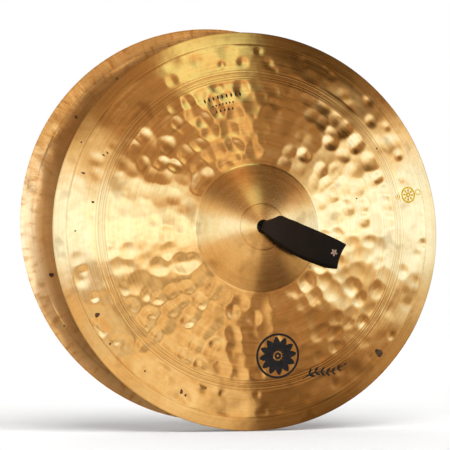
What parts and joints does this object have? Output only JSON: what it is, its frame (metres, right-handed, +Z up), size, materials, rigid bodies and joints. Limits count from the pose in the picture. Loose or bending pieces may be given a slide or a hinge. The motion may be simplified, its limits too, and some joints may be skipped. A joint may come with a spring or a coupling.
{
  "type": "hand cymbals",
  "caption": "Pair of orchestral hand cymbals: hammered and lathed bronze discs with raised bells, each held by a leather strap loop knotted through its centre.",
  "frame": {"origin": "mouth of the front cymbal's hole, on the outside of its bell, where the player's hand holds the strap", "axes": "+Y from the front cymbal towards the rear one, along both cymbals' axes; +Z up; +X to the right seen from the front"},
  "size_m": [0.543, 0.1888, 0.5185],
  "materials": {
    "bronze": "hammered and lathed, polished",
    "strap_leather": "smooth black strap leather",
    "tail_leather": "black leather thongs with raw edges"
  },
  "bodies": {
    "front_cymbal": {"front_cymbal": "bronze"},
    "front_knot": {"front_strap_neck": "strap_leather", "front_strap_tail_1": "tail_leather", "front_strap_tail_2": "tail_leather", "front_strap_tail_3": "tail_leather", "front_strap_tail_4": "tail_leather"},
    "front_loop": {"front_strap_loop": "strap_leather"},
    "rear_cymbal": {"rear_cymbal": "bronze"},
    "rear_knot": {"rear_strap_neck": "strap_leather", "rear_strap_tail_1": "tail_leather", "rear_strap_tail_2": "tail_leather", "rear_strap_tail_3": "tail_leather", "rear_strap_tail_4": "tail_leather"},
    "rear_loop": {"rear_strap_loop": "strap_leather"}
  },
  "joints": [
    {"name": "pair_slide", "type": "slide", "parent": "front_cymbal", "child": "rear_cymbal", "axis": [0, 1, 0], "range_m": [-0.0366, 0.25]},
    {"name": "front_swivel", "type": "hinge", "parent": "front_cymbal", "child": "front_knot", "pos_m": [0, 0, 0], "axis": [0, -1, 0], "continuous": true},
    {"name": "front_fold", "type": "hinge", "parent": "front_knot", "child": "front_loop", "pos_m": [0, -0.008, 0], "axis": [-0.3697, 0, -0.9291], "range_deg": [-10, 165]},
    {"name": "rear_swivel", "type": "hinge", "parent": "rear_cymbal", "child": "rear_knot", "pos_m": [-0.035, 0.14, 0.0105], "axis": [0, 1, 0], "continuous": true},
    {"name": "rear_fold", "type": "hinge", "parent": "rear_knot", "child": "rear_loop", "pos_m": [-0.035, 0.148, 0.0105], "axis": [0.3697, 0, -0.9291], "range_deg": [-10, 165]}
  ]
}
